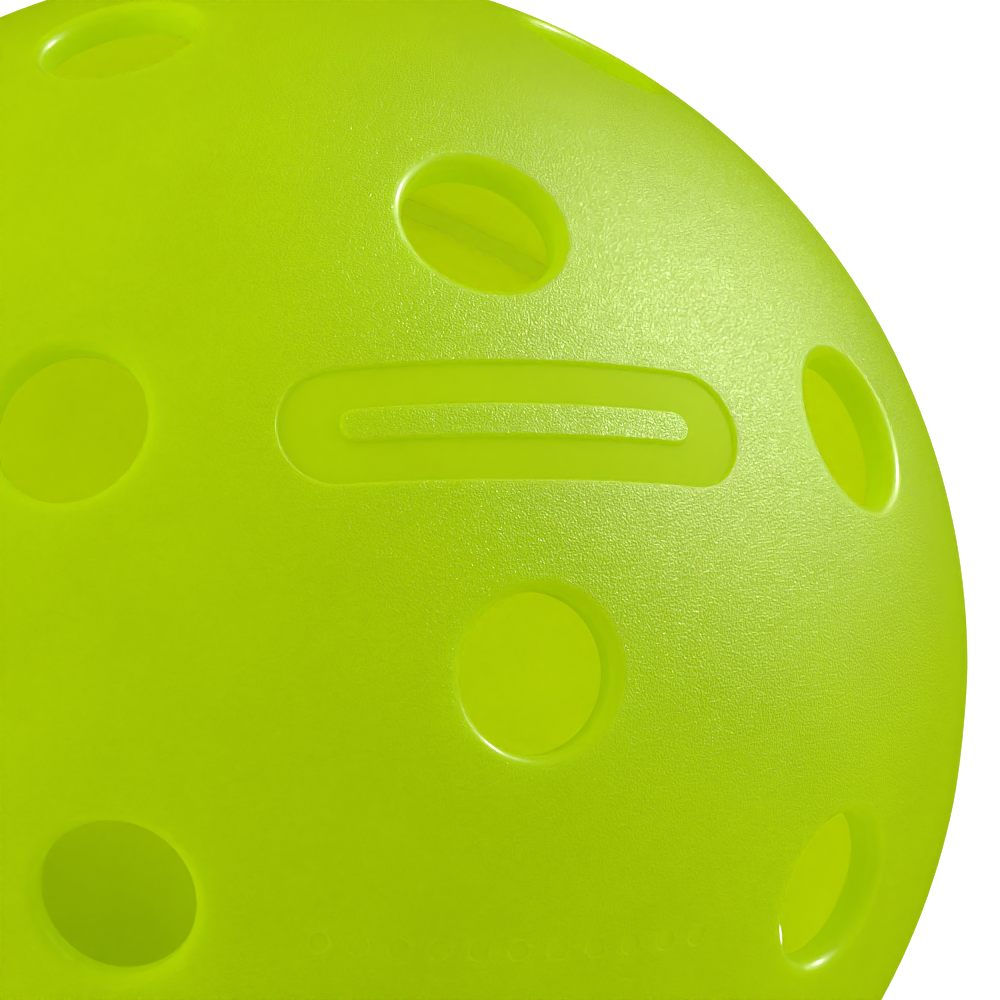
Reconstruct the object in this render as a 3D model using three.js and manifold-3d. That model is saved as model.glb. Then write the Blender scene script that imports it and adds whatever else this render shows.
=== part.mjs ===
// Pickleball ball: two identical injection-moulded half shells, welded to each other at the equator.
// Millimetres, +Z up. The origin is the ball's centre and the weld lies in the plane z = 0.
// A hole is centred on each pole, and one hole of the ring next to the upper pole faces -Y.

import * as THREE from "three";
import { mergeVertices } from "three/addons/utils/BufferGeometryUtils.js";
import Module from "manifold-3d";

const wasm = await Module();
wasm.setup();

// Driving dimensions.
const BALL_DIAMETER = 74;
const WALL = 1.75;
const HOLE_DIAMETER = 8;
const LIP_RADIUS = 0.65; // rounding of each hole's outer edge
const REBATE_DEPTH = 0.6; // flash trap cut into the inner edge of each half's rim
const REBATE_HEIGHT = 0.7;
const BEAD_PROUD = 0.1; // how far the set bead stands into the ball
const BEAD_CLEARANCE = 0.1; // between the bead and the walls of the flash trap

// Fineness of the faceted surfaces.
const AZIMUTH_STEPS = 60;
const POLAR_STEPS = 12;
const HOLE_STEPS = 20;
const LIP_STEPS = 2;
const BEAD_STEPS = 4;

const OUTER_RADIUS = BALL_DIAMETER / 2;
const INNER_RADIUS = OUTER_RADIUS - WALL;
const HOLE_RADIUS = HOLE_DIAMETER / 2;
const QUARTER_TURN = Math.PI / 2;
const FIFTH_TURN = (2 * Math.PI) / 5;

// The holes sit at the corners and the face centres of an icosahedron that stands on a corner.
// One half has a hole at its pole and three rings of five, given by the angle from the pole
// and by the heading of the ring's first hole. The last ring is drawn back a little from its
// face centres, which lie at 79.2 degrees, to leave more wall beside the weld.
const LAST_RING = THREE.MathUtils.degToRad(76.5);
const HOLE_RINGS = [
  { fromPole: Math.atan(3 - Math.sqrt(5)), heading: -QUARTER_TURN },
  { fromPole: Math.atan(2), heading: -QUARTER_TURN - FIFTH_TURN / 2 },
  { fromPole: LAST_RING, heading: -QUARTER_TURN },
];

function shellPlastic(name) {
  return new THREE.MeshStandardMaterial({ name, color: 0xb4d410, roughness: 0.45, metalness: 0 });
}

// Points of an arc about (centreX, centreY), from one angle to another, both ends included.
function arc(centreX, centreY, radius, from, to, steps) {
  return Array.from({ length: steps + 1 }, (_, i) => {
    const angle = from + ((to - from) * i) / steps;
    return new THREE.Vector2(centreX + radius * Math.cos(angle), centreY + radius * Math.sin(angle));
  });
}

// A profile of (distance from the axis, height) turned about Z.
function turned(profile, steps) {
  return new THREE.LatheGeometry(profile, steps).rotateX(QUARTER_TURN);
}

// A closed geometry as a manifold-3d solid. Faces that shrink to a line on the axis are dropped.
function solidFrom(geometry) {
  const bare = geometry.clone().deleteAttribute("normal").deleteAttribute("uv");
  const merged = mergeVertices(bare, 1e-4);
  const corners = [];
  for (let i = 0; i < merged.index.count; i += 3) {
    const [a, b, c] = [0, 1, 2].map((k) => merged.index.getX(i + k));
    if (a !== b && b !== c && c !== a) corners.push(a, b, c);
  }
  const vertProperties = merged.attributes.position.array;
  const triVerts = new Uint32Array(corners);
  return new wasm.Manifold(new wasm.Mesh({ numProp: 3, vertProperties, triVerts }));
}

function geometryFrom(solid) {
  const { vertProperties, triVerts } = solid.getMesh();
  const geometry = new THREE.BufferGeometry();
  geometry.setAttribute("position", new THREE.BufferAttribute(vertProperties, 3));
  geometry.setIndex(new THREE.BufferAttribute(triVerts, 1));
  geometry.computeVertexNormals();
  return geometry;
}

// The space that one hole takes out of a shell, standing on +Z: a straight bore whose mouth
// rounds over until it runs into the ball's outer surface.
function holeCutter() {
  const reach = HOLE_RADIUS + LIP_RADIUS;
  const lipCentreHeight = Math.sqrt((OUTER_RADIUS - LIP_RADIUS) ** 2 - reach ** 2);
  const tilt = Math.asin(reach / (OUTER_RADIUS - LIP_RADIUS)); // of the surface where the lip meets it
  const below = INNER_RADIUS - 3 * WALL;
  const above = OUTER_RADIUS + WALL;
  const profile = [
    new THREE.Vector2(0, below),
    new THREE.Vector2(HOLE_RADIUS, below),
    ...arc(reach, lipCentreHeight, LIP_RADIUS, Math.PI, QUARTER_TURN - tilt, LIP_STEPS),
    new THREE.Vector2(above * Math.sin(tilt), above * Math.cos(tilt)),
    new THREE.Vector2(0, above),
  ];
  return turned(profile, HOLE_STEPS);
}

// A geometry that stands on +Z, turned to stand on the ball's surface in the given direction.
function aimed(geometry, fromPole, heading) {
  return geometry.clone().rotateY(fromPole).rotateZ(heading);
}

// The upper half shell: half a hollow ball with a flash trap inside its rim, less its sixteen holes.
function halfShell() {
  const trapRadius = INNER_RADIUS + REBATE_DEPTH;
  const trapLatitude = Math.asin(REBATE_HEIGHT / INNER_RADIUS);
  const profile = [
    ...arc(0, 0, INNER_RADIUS, QUARTER_TURN, trapLatitude, POLAR_STEPS),
    new THREE.Vector2(trapRadius, REBATE_HEIGHT),
    new THREE.Vector2(trapRadius, 0),
    ...arc(0, 0, OUTER_RADIUS, 0, QUARTER_TURN, POLAR_STEPS),
  ];
  profile.at(0).setX(0); // both ends lie exactly on the axis
  profile.at(-1).setX(0);
  const blank = turned(profile, AZIMUTH_STEPS);

  const cutter = holeCutter();
  let half = solidFrom(blank).subtract(solidFrom(cutter));
  for (const { fromPole, heading } of HOLE_RINGS) {
    for (let k = 0; k < 5; k += 1) {
      half = half.subtract(solidFrom(aimed(cutter, fromPole, heading + k * FIFTH_TURN)));
    }
  }
  return geometryFrom(half);
}

// The ring of plastic that the weld pressed out of the joint. It fills the flash trap almost
// flush with the inside of the ball.
function weldBead() {
  const back = INNER_RADIUS + REBATE_DEPTH - BEAD_CLEARANCE;
  const halfHeight = REBATE_HEIGHT - BEAD_CLEARANCE;
  const crown = Array.from({ length: BEAD_STEPS + 1 }, (_, i) => {
    const angle = QUARTER_TURN - (Math.PI * i) / BEAD_STEPS;
    const radius = INNER_RADIUS - BEAD_PROUD * Math.cos(angle);
    return new THREE.Vector2(radius, halfHeight * Math.sin(angle));
  });
  const profile = [
    ...crown,
    new THREE.Vector2(back, -halfHeight),
    new THREE.Vector2(back, halfHeight),
    crown[0].clone(),
  ];
  return turned(profile, AZIMUTH_STEPS);
}

const halfGeometry = halfShell();
const upper = new THREE.Mesh(halfGeometry, shellPlastic("upper_shell_plastic"));
upper.name = "upper_half_shell";

const lower = new THREE.Mesh(halfGeometry, shellPlastic("lower_shell_plastic"));
lower.name = "lower_half_shell";
lower.rotation.x = Math.PI;

const bead = new THREE.Mesh(weldBead(), shellPlastic("weld_plastic"));
bead.name = "weld_bead";

const ball = new THREE.Group();
ball.name = "pickleball_ball";
ball.add(upper, lower, bead);

export default ball;
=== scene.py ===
"""A pickleball ball: two injection-moulded half shells, welded to each other at the equator.

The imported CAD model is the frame. This script rebuilds its faceted shells as smooth, finely
meshed pieces in the same place, with rounded hole edges and a recessed plain mark, and gives
them their plastic. Metres, +Z up, the origin at the ball's centre.
"""

import math

import bpy
import numpy as np
from mathutils import Matrix, Vector
from mathutils.geometry import delaunay_2d_cdt


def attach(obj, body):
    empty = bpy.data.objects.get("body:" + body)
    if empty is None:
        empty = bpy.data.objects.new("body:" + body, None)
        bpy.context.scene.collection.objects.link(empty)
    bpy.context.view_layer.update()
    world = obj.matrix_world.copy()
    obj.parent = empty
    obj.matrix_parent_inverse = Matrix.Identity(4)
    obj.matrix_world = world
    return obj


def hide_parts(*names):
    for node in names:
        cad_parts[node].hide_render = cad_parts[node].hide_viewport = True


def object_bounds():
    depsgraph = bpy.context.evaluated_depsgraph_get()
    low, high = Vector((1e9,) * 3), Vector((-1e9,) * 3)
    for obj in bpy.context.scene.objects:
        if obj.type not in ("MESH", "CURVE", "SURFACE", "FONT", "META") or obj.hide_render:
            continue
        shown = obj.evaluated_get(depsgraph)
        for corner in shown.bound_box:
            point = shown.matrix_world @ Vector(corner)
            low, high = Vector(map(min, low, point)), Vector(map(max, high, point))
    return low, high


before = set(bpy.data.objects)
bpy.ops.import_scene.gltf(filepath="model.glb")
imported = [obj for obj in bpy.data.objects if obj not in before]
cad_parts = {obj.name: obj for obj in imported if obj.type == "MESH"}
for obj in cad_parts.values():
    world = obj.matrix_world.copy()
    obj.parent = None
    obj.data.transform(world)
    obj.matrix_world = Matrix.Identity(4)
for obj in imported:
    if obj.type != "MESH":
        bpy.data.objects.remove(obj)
cad_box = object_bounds()

MM = 0.001

# The ball, from the CAD box and in the CAD model's own terms.
OUTER_RADIUS = (cad_box[1].x - cad_box[0].x) / 2
WALL = 1.75 * MM
INNER_RADIUS = OUTER_RADIUS - WALL
HOLE_RADIUS = 4.0 * MM
LIP_RADIUS = 0.65 * MM
BORE_EDGE = 0.06 * MM  # tiny rounding where a bore meets the inside of the wall
REBATE_DEPTH = 0.6 * MM
REBATE_HEIGHT = 0.7 * MM
BEAD_PROUD = 0.05 * MM
BEAD_CLEARANCE = 0.02 * MM
LAST_RING = math.radians(76.5)  # a little back from the joint

# The trimmed weld leaves a fine groove round the outside.
GROOVE_HALF_WIDTH = 0.12 * MM
GROOVE_DEPTH = 0.09 * MM


# Fineness of the meshes.
OUTER_SPACING = 0.8 * MM
INNER_SPACING = 1.3 * MM
HOLE_STEPS = 96
LIP_STEPS = 8
HOLD_WIDTH = 0.08 * MM  # a row of points this far outside each lip keeps the shading beyond it even
GRAINED_STEPS = 1  # how many of the lip's steps, from the outside, still carry the grain
RIM_STEPS = 480
OUTLINE_SPACING = 0.28 * MM

FIFTH_TURN = 2 * math.pi / 5
GOLDEN_ANGLE = math.pi * (3 - math.sqrt(5))


# ---------------------------------------------------------------------------
# The pattern of holes: the corners and face centres of an icosahedron on its corner
# ---------------------------------------------------------------------------


def direction(from_pole, heading):
    """The unit vector at that angle from +Z, on that heading from +X towards +Y."""
    flat = math.sin(from_pole)
    return np.array([flat * math.cos(heading), flat * math.sin(heading), math.cos(from_pole)])


def hole_directions():
    """The sixteen holes of the upper half: its pole and three rings of five."""
    rings = [
        (math.atan(3 - math.sqrt(5)), -math.pi / 2),
        (math.atan(2), -math.pi / 2 - FIFTH_TURN / 2),
        (LAST_RING, -math.pi / 2),
    ]
    found = [direction(0, 0)]
    for from_pole, heading in rings:
        found += [direction(from_pole, heading + k * FIFTH_TURN) for k in range(5)]
    return found


def across(axis):
    """Two unit vectors square to the axis and to each other."""
    side = np.cross(axis, [0.36, 0.48, 0.8] if abs(axis[2]) < 0.7 else [0, 1, 0])
    side /= np.linalg.norm(side)
    return side, np.cross(axis, side)


# ---------------------------------------------------------------------------
# The recessed mark: plain rounded shapes on the outside of the upper half
# ---------------------------------------------------------------------------


class Mark:
    """Rounded bars pressed into the surface around a centre, measured in a flat sheet there.

    A bar is (across, along, half length, radius, raised): its middle in the sheet, half its
    length and its end radius, and whether it stands in the recess instead of being recessed.
    """

    def __init__(self, from_pole, bars, depth, wall):
        self.centre = direction(from_pole, -math.pi / 2)
        self.right = np.array([1.0, 0.0, 0.0])
        self.up = np.cross(self.centre, self.right)
        self.bars = bars
        self.depth = depth
        self.wall = wall

    def flat(self, points):
        """Unit directions as positions in the sheet. Those on the far side are sent far away."""
        facing = points @ self.centre
        safe = np.where(facing > 0.3, facing, 1.0)
        u = OUTER_RADIUS * (points @ self.right) / safe
        v = OUTER_RADIUS * (points @ self.up) / safe
        return np.where(facing > 0.3, u, 1.0), np.where(facing > 0.3, v, 1.0)

    def outside_bar(self, u, v, bar):
        """Distance outside one bar's outline, negative inside it."""
        mid_u, mid_v, half_length, radius, _ = bar
        along = np.maximum(np.abs(u - mid_u) - (half_length - radius), 0)
        return np.hypot(along, v - mid_v) - radius

    def outside(self, points):
        """Distance outside the recess, negative in it."""
        u, v = self.flat(points)
        sunk = np.full(len(points), 1.0)
        for bar in self.bars:
            if not bar[4]:
                sunk = np.minimum(sunk, self.outside_bar(u, v, bar))
        for bar in self.bars:
            if bar[4]:
                sunk = np.maximum(sunk, -self.outside_bar(u, v, bar))
        return sunk

    def depth_at(self, points):
        t = np.clip(0.5 - self.outside(points) / self.wall, 0, 1)
        return self.depth * t * t * (3 - 2 * t)

    def outlines(self):
        """Closed rows of unit directions that follow each bar's edge, from its top to its foot."""
        for mid_u, mid_v, half_length, radius, _ in self.bars:
            for offset in (-0.75, -0.5, -0.25, 0, 0.25, 0.5, 0.75):
                r = radius + offset * self.wall
                straight = half_length - radius
                round_end = math.pi * r
                total = 2 * round_end + 4 * straight
                count = max(20, round(total / OUTLINE_SPACING))
                at = np.arange(count) * total / count
                u, v = np.empty(count), np.empty(count)
                for i, s in enumerate(at):
                    u[i], v[i] = stadium_point(s, straight, r)
                sheet = self.centre + np.outer(u + mid_u, self.right) / OUTER_RADIUS
                sheet += np.outer(v + mid_v, self.up) / OUTER_RADIUS
                yield sheet / np.linalg.norm(sheet, axis=1)[:, None]


def stadium_point(s, straight, r):
    """The point at distance s round a bar's outline, anticlockwise from its lower right."""
    arc = math.pi * r
    if s < arc:
        angle = -math.pi / 2 + s / r
        return straight + r * math.cos(angle), r * math.sin(angle)
    s -= arc
    if s < 2 * straight:
        return straight - s, r
    s -= 2 * straight
    if s < arc:
        angle = math.pi / 2 + s / r
        return -straight + r * math.cos(angle), r * math.sin(angle)
    return -straight + (s - arc), -r


def marks():
    panel = [
        (0, 0, 13.0 * MM, 3.1 * MM, False),
        (0, 0, 9.6 * MM, 0.85 * MM, True),
    ]
    dots = [(k * 2.1 * MM, 0, 0.55 * MM, 0.55 * MM, False) for k in range(-5, 6)]
    return [
        Mark(math.radians(17.6), panel, 0.22 * MM, 0.16 * MM),
        Mark(math.radians(59.0), dots, 0.08 * MM, 0.12 * MM),
    ]


# ---------------------------------------------------------------------------
# Meshing a half shell
# ---------------------------------------------------------------------------


class Sheet:
    """Points on the upper half of a sphere, with closed rows of them, joined into triangles."""

    def __init__(self, spacing, radius):
        self.points = np.empty((0, 3))
        self.rows = []
        self.fixed = []
        self.spacing = spacing / radius

    def add_row(self, points, tied=True):
        """Adds a closed row of unit directions and returns their numbers."""
        start = len(self.points)
        self.points = np.vstack([self.points, points])
        row = list(range(start, start + len(points)))
        if tied:
            self.rows.append(row)
        return row

    def fill(self, keep):
        """Adds evenly spread points wherever keep(points) allows them."""
        count = round(4 * math.pi / (self.spacing**2 * math.sqrt(3) / 2))
        i = np.arange(count // 2)
        z = (i + 0.5) / (count / 2)
        flat = np.sqrt(1 - z * z)
        spread = np.c_[flat * np.cos(i * GOLDEN_ANGLE), flat * np.sin(i * GOLDEN_ANGLE), z]
        self.points = np.vstack([self.points, spread[keep(spread)]])

    def triangles(self):
        """Delaunay triangles of the points, seen from the lower pole, wound to face outwards."""
        seen = self.points[:, :2] / (1 + self.points[:, 2:3])
        ties = [(a, b) for row in self.rows for a, b in zip(row, row[1:] + row[:1])]
        made = delaunay_2d_cdt([Vector(p) for p in seen], ties, [], 0, 1e-7, True)
        source = [found[0] for found in made[3]]
        return np.array([[source[i] for i in face] for face in made[2] if len(face) == 3])


def circle(axis, distance, height, steps):
    """Points round the axis at that distance from it and that height along it."""
    side, other = across(axis)
    angle = np.arange(steps) * 2 * math.pi / steps
    ring = np.outer(np.cos(angle), side) + np.outer(np.sin(angle), other)
    return distance * ring + height * axis


def cap_circle(axis, angle, steps):
    """Unit directions at that angle from the axis."""
    return circle(axis, math.sin(angle), math.cos(angle), steps)


def nearest_hole(points, holes):
    """The angle from each point to the nearest hole's axis."""
    closest = np.max(points @ np.array(holes).T, axis=1)
    return np.arccos(np.clip(closest, -1, 1))


class HalfShell:
    """Builds one half shell's mesh, whose faces each have one of five finishes."""

    GRAINED, POLISHED, INSIDE, MARK, WELDED = range(5)

    def __init__(self, mark_list):
        self.holes = hole_directions()
        self.marks = mark_list
        self.points, self.faces, self.finish = [], [], []
        self.count = 0

    def add_points(self, points):
        start = self.count
        self.points.append(np.asarray(points, float))
        self.count += len(points)
        return list(range(start, self.count))

    def add_faces(self, faces, finish):
        self.faces += [list(map(int, f)) for f in faces]
        self.finish += [finish] * len(faces)

    def bridge(self, first, second, finish):
        """Quads between two closed rows of the same length."""
        n = len(first)
        quads = [(first[i], first[(i + 1) % n], second[(i + 1) % n], second[i]) for i in range(n)]
        self.add_faces(quads, finish)

    def outer_sheet(self):
        """The outside: grained, but for the floors and walls of the marks."""
        lip_angle = math.asin((HOLE_RADIUS + LIP_RADIUS) / (OUTER_RADIUS - LIP_RADIUS))
        hold_angle = lip_angle + HOLD_WIDTH / OUTER_RADIUS
        sheet = Sheet(OUTER_SPACING, OUTER_RADIUS)
        rim_height = GROOVE_HALF_WIDTH / OUTER_RADIUS
        rim = sheet.add_row(cap_circle(direction(0, 0), math.acos(rim_height), RIM_STEPS))
        lips = []
        for axis in self.holes:
            lips.append(sheet.add_row(cap_circle(axis, lip_angle, HOLE_STEPS)))
            sheet.add_row(cap_circle(axis, hold_angle, HOLE_STEPS))
        for mark in self.marks:
            for outline in mark.outlines():
                sheet.add_row(outline)
        clear = hold_angle + 0.5 * sheet.spacing

        def keep(points):
            free = (nearest_hole(points, self.holes) > clear) & (points[:, 2] > 0.6 * sheet.spacing)
            for mark in self.marks:
                edge = np.abs(mark.outside(points))
                free &= edge > 0.75 * mark.wall + 0.12 * MM
            return free

        sheet.fill(keep)
        radius = np.full(len(sheet.points), OUTER_RADIUS)
        for mark in self.marks:
            radius -= mark.depth_at(sheet.points)
        numbers = self.add_points(sheet.points * radius[:, None])
        faces = sheet.triangles()
        middle = sheet.points[faces].mean(axis=1)
        middle /= np.linalg.norm(middle, axis=1)[:, None]
        faces = faces[nearest_hole(middle, self.holes) > lip_angle]
        middle = middle[nearest_hole(middle, self.holes) > lip_angle]
        marked = np.zeros(len(middle), bool)
        for mark in self.marks:
            marked |= mark.outside(middle) < 0.3 * mark.wall
        self.add_faces(faces[~marked], self.GRAINED)
        self.add_faces(faces[marked], self.MARK)
        return [numbers[i] for i in rim], [[numbers[i] for i in lip] for lip in lips]

    def inner_sheet(self):
        """The inside wall, wound to face the ball's centre."""
        edge = math.asin((HOLE_RADIUS + BORE_EDGE) / INNER_RADIUS)
        sheet = Sheet(INNER_SPACING, INNER_RADIUS)
        rim_angle = math.acos(REBATE_HEIGHT / INNER_RADIUS)
        rim = sheet.add_row(cap_circle(direction(0, 0), rim_angle, RIM_STEPS))
        mouths = [sheet.add_row(cap_circle(axis, edge, HOLE_STEPS)) for axis in self.holes]
        clear = edge + 0.5 * sheet.spacing
        low = REBATE_HEIGHT / INNER_RADIUS + 0.5 * sheet.spacing

        def keep(points):
            return (nearest_hole(points, self.holes) > clear) & (points[:, 2] > low)

        sheet.fill(keep)
        numbers = self.add_points(sheet.points * INNER_RADIUS)
        faces = sheet.triangles()
        middle = sheet.points[faces].mean(axis=1)
        middle /= np.linalg.norm(middle, axis=1)[:, None]
        faces = faces[nearest_hole(middle, self.holes) > edge]
        offset = numbers[0]
        self.add_faces(faces[:, ::-1] + offset, self.INSIDE)
        return [numbers[i] for i in rim], [[numbers[i] for i in mouth] for mouth in mouths]

    def bore(self, axis, lip, mouth):
        """The rounded lip and the straight wall of one hole, from its outer row to its inner one."""
        reach = HOLE_RADIUS + LIP_RADIUS
        lip_centre = math.sqrt((OUTER_RADIUS - LIP_RADIUS) ** 2 - reach**2)
        tilt = math.asin(reach / (OUTER_RADIUS - LIP_RADIUS))
        rows = [lip]
        for i in range(1, LIP_STEPS + 1):
            angle = math.pi / 2 - tilt + (math.pi / 2 + tilt) * i / LIP_STEPS
            distance = reach + LIP_RADIUS * math.cos(angle)
            height = lip_centre + LIP_RADIUS * math.sin(angle)
            rows.append(self.add_points(circle(axis, distance, height, HOLE_STEPS)))
        foot = math.sqrt(INNER_RADIUS**2 - HOLE_RADIUS**2)
        for height in (foot + 0.3 * MM, foot + BORE_EDGE):
            rows.append(self.add_points(circle(axis, HOLE_RADIUS, height, HOLE_STEPS)))
        turned = HOLE_RADIUS + 0.3 * BORE_EDGE
        rows.append(self.add_points(circle(axis, turned, foot + 0.3 * BORE_EDGE, HOLE_STEPS)))
        rows.append(mouth)
        finishes = [self.GRAINED] * GRAINED_STEPS + [self.POLISHED] * (len(rows) - 1 - GRAINED_STEPS)
        for first, second, finish in zip(rows, rows[1:], finishes):
            self.bridge(first, second, finish)

    def joint(self, outer_rim, inner_rim):
        """The face that is welded, from the groove outside to the flash trap inside."""
        up = direction(0, 0)
        trap = INNER_RADIUS + REBATE_DEPTH
        sections = [
            (OUTER_RADIUS - 0.5 * GROOVE_DEPTH, 0.4 * GROOVE_HALF_WIDTH),
            (OUTER_RADIUS - GROOVE_DEPTH, 0),
            (trap + 0.1 * MM, 0),
            (trap, 0.1 * MM),
            (trap, REBATE_HEIGHT),
        ]
        rows = [outer_rim]
        for distance, height in sections:
            rows.append(self.add_points(circle(up, distance, height, RIM_STEPS)))
        rows.append(inner_rim)
        finishes = [self.POLISHED] * 2 + [self.WELDED] * 4
        for first, second, finish in zip(rows, rows[1:], finishes):
            self.bridge(second, first, finish)

    def build(self, name, turn):
        outer_rim, lips = self.outer_sheet()
        inner_rim, mouths = self.inner_sheet()
        for axis, lip, mouth in zip(self.holes, lips, mouths):
            self.bore(axis, lip, mouth)
        self.joint(outer_rim, inner_rim)
        mesh = bpy.data.meshes.new(name)
        points = np.vstack(self.points) @ np.array(turn.to_3x3()).T
        mesh.from_pydata(points.tolist(), [], self.faces)
        mesh.polygons.foreach_set("material_index", self.finish)
        mesh.polygons.foreach_set("use_smooth", [True] * len(mesh.polygons))
        mesh.update()
        piece = bpy.data.objects.new(name, mesh)
        bpy.context.scene.collection.objects.link(piece)
        return piece


def weld_bead_ring(name):
    """The bead of set plastic inside the joint, a little uneven along its length."""
    steps, section_steps = 720, 12
    back = INNER_RADIUS + REBATE_DEPTH - BEAD_CLEARANCE
    half_height = REBATE_HEIGHT - BEAD_CLEARANCE
    points, faces = [], []
    for i in range(steps):
        angle = 2 * math.pi * i / steps
        ripple = 1 + 0.05 * math.sin(11 * angle) + 0.04 * math.sin(29 * angle + 1)
        section = []
        for k in range(section_steps + 1):
            turn = math.pi / 2 - math.pi * k / section_steps
            proud = BEAD_PROUD * min(ripple, 1) * math.cos(turn)
            section.append((INNER_RADIUS - proud, half_height * math.sin(turn)))
        section += [(back, -half_height), (back, half_height)]
        points += [(r * math.cos(angle), r * math.sin(angle), z) for r, z in section]
    n = section_steps + 3
    for i in range(steps):
        j = (i + 1) % steps
        for k in range(n):
            m = (k + 1) % n
            faces.append((i * n + k, i * n + m, j * n + m, j * n + k))
    mesh = bpy.data.meshes.new(name)
    mesh.from_pydata(points, [], faces)
    mesh.polygons.foreach_set("use_smooth", [True] * len(faces))
    mesh.update()
    piece = bpy.data.objects.new(name, mesh)
    bpy.context.scene.collection.objects.link(piece)
    return piece


# ---------------------------------------------------------------------------
# Materials
# ---------------------------------------------------------------------------

# What one face of the wall sends on of red, green and blue light, and how much of that goes
# through it rather than back. The wall's two faces together pass about a third of the light.
PLASTIC = (0.655, 0.82, 0.002)
SEEN_THROUGH = 0.63
# The inside wall's colour, a lighter, yellower copy of the outside's: painted light that brightens
# the shaded inside of the ball.
INNER_PLASTIC = (0.78, 0.82, 0.02)
# The bead's colour, a lighter, paler copy of the plastic: painted light that lifts the shade inside
# the joint.
BEAD = (0.86, 0.91, 0.15)
BEAD_SEEN_THROUGH = 0.8


class Plastic:
    """A translucent moulded plastic, with its own roughness and any number of bump layers."""

    def __init__(self, name, roughness, seen_through=SEEN_THROUGH):
        self.material = bpy.data.materials.new(name)
        self.material.use_nodes = True
        self.nodes = self.material.node_tree.nodes
        self.links = self.material.node_tree.links
        self.shader = self.nodes["Principled BSDF"]
        self.through = self.nodes.new("ShaderNodeBsdfTranslucent")
        self.place = self.nodes.new("ShaderNodeTexCoord").outputs["Object"]
        self.normal = None
        mix = self.nodes.new("ShaderNodeMixShader")
        mix.inputs["Fac"].default_value = seen_through
        self.links.new(self.shader.outputs["BSDF"], mix.inputs[1])
        self.links.new(self.through.outputs["BSDF"], mix.inputs[2])
        self.links.new(mix.outputs["Shader"], self.nodes["Material Output"].inputs["Surface"])
        self.set("Roughness", roughness)
        self.set("IOR", 1.5)
        self.set("Subsurface Weight", 1.0)
        self.set("Subsurface Radius", (0.7, 1.0, 0.3))
        self.set("Subsurface Scale", 1.0 * MM)

    def set(self, socket, value):
        self.shader.inputs[socket].default_value = value

    def noise(self, size, detail=2.0, roughness=0.5):
        """A noise whose features are about that size in metres."""
        node = self.nodes.new("ShaderNodeTexNoise")
        node.inputs["Scale"].default_value = 1 / size
        node.inputs["Detail"].default_value = detail
        node.inputs["Roughness"].default_value = roughness
        self.links.new(self.place, node.inputs["Vector"])
        return node.outputs["Fac"]

    def bump(self, height, distance, through=True):
        """Bumps that turn what is reflected and, unless told not to, what shines through."""
        node = self.nodes.new("ShaderNodeBump")
        node.inputs["Distance"].default_value = distance
        self.links.new(height, node.inputs["Height"])
        if self.normal:
            self.links.new(self.normal, node.inputs["Normal"])
        self.normal = node.outputs["Normal"]
        self.links.new(self.normal, self.shader.inputs["Normal"])
        if through:
            self.links.new(self.normal, self.through.inputs["Normal"])

    def spread(self, value, low, high):
        """A noise value from 0 to 1 as one from low to high."""
        node = self.nodes.new("ShaderNodeMapRange")
        node.inputs["From Min"].default_value = 0.3
        node.inputs["From Max"].default_value = 0.7
        node.inputs["To Min"].default_value = low
        node.inputs["To Max"].default_value = high
        self.links.new(value, node.inputs["Value"])
        return node.outputs["Result"]

    def tint(self, colour, share):
        """The base colour, clouded slightly over a few millimetres."""
        mix = self.nodes.new("ShaderNodeMix")
        mix.data_type = "RGBA"
        deeper = tuple(c * (1 - share) for c in colour)
        mix.inputs["A"].default_value = (*deeper, 1)
        mix.inputs["B"].default_value = (*colour, 1)
        self.links.new(self.spread(self.noise(6 * MM), 0.0, 1.0), mix.inputs["Factor"])
        self.links.new(mix.outputs["Result"], self.shader.inputs["Base Color"])
        self.links.new(mix.outputs["Result"], self.through.inputs["Color"])


def grained_plastic():
    """The outside, which carries the mould's fine spark-eroded grain."""
    plastic = Plastic("grained_plastic", 0.24)
    plastic.tint(PLASTIC, 0.03)
    plastic.bump(plastic.noise(2.5 * MM, 1.0), 0.02 * MM)
    plastic.bump(plastic.noise(0.105 * MM, 1.0, 0.6), 0.065 * MM, through=False)
    return plastic.material


def polished_plastic():
    """Hole edges and bores, shaped by polished steel."""
    plastic = Plastic("polished_plastic", 0.24)
    plastic.tint(PLASTIC, 0.03)
    plastic.bump(plastic.noise(1.5 * MM, 1.0), 0.004 * MM)
    return plastic.material


def mark_plastic():
    """The floor and the walls of the recessed marks, smooth but not glossy."""
    plastic = Plastic("mark_plastic", 0.5)
    plastic.set("Specular IOR Level", 0.03)
    plastic.tint(PLASTIC, 0.03)
    plastic.bump(plastic.noise(1.5 * MM, 1.0), 0.004 * MM)
    return plastic.material


def inside_plastic():
    """The inside wall, from the smoother core of the mould. Its colour is lighter and yellower than
    the outside's: painted light that brightens the shaded inside.
    """
    plastic = Plastic("inside_plastic", 0.12)
    plastic.tint(INNER_PLASTIC, 0.03)
    plastic.bump(plastic.noise(3 * MM, 1.0), 0.01 * MM)
    return plastic.material


def welded_plastic():
    """The faces that the weld has fused, which hardly hold light back."""
    plastic = Plastic("welded_plastic", 0.3, 0.97)
    plastic.set("Specular IOR Level", 0.0)
    plastic.tint((1.0, 1.0, 1.0), 0.0)
    return plastic.material


def bead_plastic():
    """The weld bead. Its two faces together pass as much light as the wall's inner one. Its colour
    is lighter and paler than the wall's: painted light that lifts the shade the bead sits in.
    """
    plastic = Plastic("bead_plastic", 0.15, BEAD_SEEN_THROUGH)
    plastic.tint(BEAD, 0.03)
    plastic.bump(plastic.noise(1.2 * MM, 2.0), 0.01 * MM)
    return plastic.material


# ---------------------------------------------------------------------------
# The ball
# ---------------------------------------------------------------------------


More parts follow.
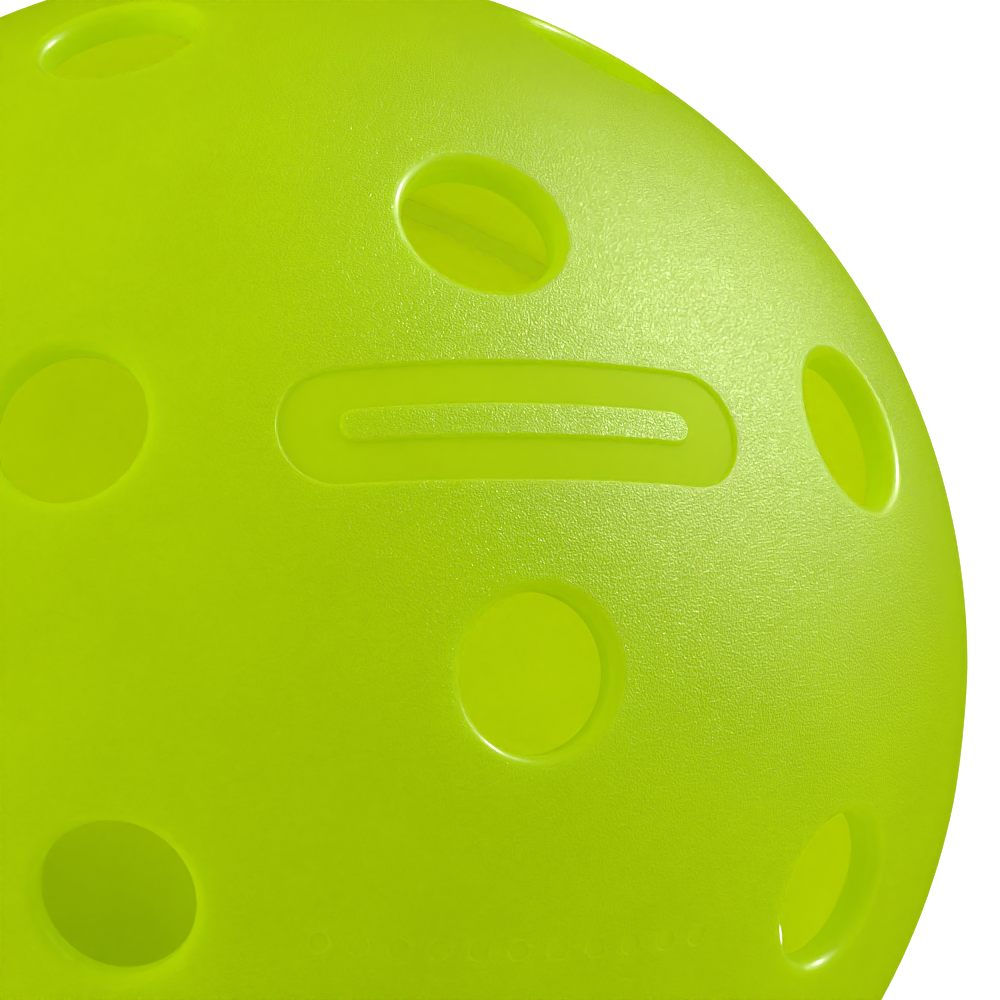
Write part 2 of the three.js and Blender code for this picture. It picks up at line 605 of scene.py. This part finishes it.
def make_ball():
    finishes = (grained_plastic, polished_plastic, inside_plastic, mark_plastic, welded_plastic)
    shell_materials = [finish() for finish in finishes]
    halves = [
        ("upper_half_shell_moulding", "upper_half_shell", marks(), Matrix.Identity(4)),
        ("lower_half_shell_moulding", "lower_half_shell", [], Matrix.Rotation(math.pi, 4, "X")),
    ]
    for name, node, mark_list, turn in halves:
        piece = HalfShell(mark_list).build(name, turn)
        for material in shell_materials:
            piece.data.materials.append(material)
        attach(piece, "root")
        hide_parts(node)
    bead = weld_bead_ring("weld_bead_ring")
    bead.data.materials.append(bead_plastic())
    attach(bead, "root")
    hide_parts("weld_bead")


# ---------------------------------------------------------------------------
# Floor, lights and camera
# ---------------------------------------------------------------------------


def make_floor(height):
    """A plain pale floor that the ball stands on."""
    half, edge = 3.0, 0.01
    top, under = height, height - edge
    corners = [(-half, -half), (half, -half), (half, half), (-half, half)]
    points = [(x, y, under) for x, y in corners] + [(x, y, top) for x, y in corners]
    faces = [(3, 2, 1, 0), (4, 5, 6, 7)]
    faces += [(i, (i + 1) % 4, 4 + (i + 1) % 4, 4 + i) for i in range(4)]
    mesh = bpy.data.meshes.new("floor")
    mesh.from_pydata(points, [], faces)
    floor = bpy.data.objects.new("floor", mesh)
    bpy.context.scene.collection.objects.link(floor)
    floor.visible_glossy = False
    material = bpy.data.materials.new("pale_floor")
    material.use_nodes = True
    shader = material.node_tree.nodes["Principled BSDF"]
    shader.inputs["Base Color"].default_value = (0.95, 0.95, 0.95, 1)
    shader.inputs["Roughness"].default_value = 0.9
    shader.inputs["Emission Color"].default_value = (1, 1, 1, 1)
    shader.inputs["Emission Strength"].default_value = 0.18
    mesh.materials.append(material)


def aim(item, towards, up):
    """Turns an object's -Z to look along towards, with its +Y as near to up as can be."""
    back = -Vector(towards).normalized()
    right = Vector(up).cross(back).normalized()
    true_up = back.cross(right)
    turn = Matrix((right, true_up, back)).transposed()
    item.matrix_world = Matrix.Translation(item.location) @ turn.to_4x4()


def lamp(name, towards_it, distance, size, power):
    """A round area light in the given direction from the ball."""
    data = bpy.data.lights.new(name, "AREA")
    data.shape = "DISK"
    data.size = size
    data.energy = power
    item = bpy.data.objects.new(name, data)
    bpy.context.scene.collection.objects.link(item)
    way = Vector(towards_it).normalized()
    item.location = way * distance
    aim(item, -way, (0, 0, 1) if abs(way.z) < 0.99 else (0, 1, 0))
    return item


def camera_axes():
    """Right, up and back of a camera that looks straight at the ball's centre."""
    azimuth, elevation, roll = map(math.radians, (-32.91, 48.66, 25.74))
    back = Vector(
        (
            math.sin(azimuth) * math.cos(elevation),
            -math.cos(azimuth) * math.cos(elevation),
            math.sin(elevation),
        )
    )
    level = Vector((math.cos(azimuth), math.sin(azimuth), 0))
    upright = back.cross(level)
    right = level * math.cos(roll) + upright * math.sin(roll)
    return right, back.cross(right), back


def make_camera():
    """A long lens close to the ball, aimed up and to its right so that it fills the lower left."""
    right, up, back = camera_axes()
    data = bpy.data.cameras.new("camera")
    data.lens = 289.3
    data.sensor_width = 36
    data.clip_start, data.clip_end = 0.01, 20
    camera = bpy.data.objects.new("camera", data)
    bpy.context.scene.collection.objects.link(camera)
    camera.location = back * 11.53 * OUTER_RADIUS
    aside, above = math.tan(math.radians(1.645)), math.tan(math.radians(1.161))
    aim(camera, right * aside + up * above - back, up)
    bpy.context.scene.camera = camera


def make_lights():
    """Soft lamps light the ball, and a small lamp in a large dim one gives it its sheen."""
    right, up, back = camera_axes()
    key_way = right * 0.80 + up * 0.58 - back * 0.13
    for name, size, power in (("key", 0.06, 21), ("key_halo", 1.1, 21)):
        shine = lamp(name, key_way, 1.2, size, power)
        shine.visible_diffuse = False
        shine.visible_transmission = False
    for name, way, size, power in (
        ("top", right * 0.1 + up * 0.9 + back * 0.4, 0.9, 4.6),
        ("left", right * -0.9 + up * 0.1 + back * 0.3, 0.6, 6.8),
        ("right", right * 0.9 + up * 0.25 + back * 0.1, 0.6, 4.2),
    ):
        soft = lamp(name, way, 1.0, size, power)
        soft.visible_glossy = False
    world = bpy.data.worlds.new("studio")
    world.use_nodes = True
    world.node_tree.nodes["Background"].inputs["Color"].default_value = (1, 1, 1, 1)
    world.node_tree.nodes["Background"].inputs["Strength"].default_value = 0.60
    bpy.context.scene.world = world
    world.cycles_visibility.glossy = False


make_ball()
make_floor(cad_box[0].z)
make_camera()
make_lights()
bpy.context.scene.view_settings.view_transform = "Standard"
bpy.context.scene.cycles.max_bounces = 24
bpy.context.scene.cycles.diffuse_bounces = 16
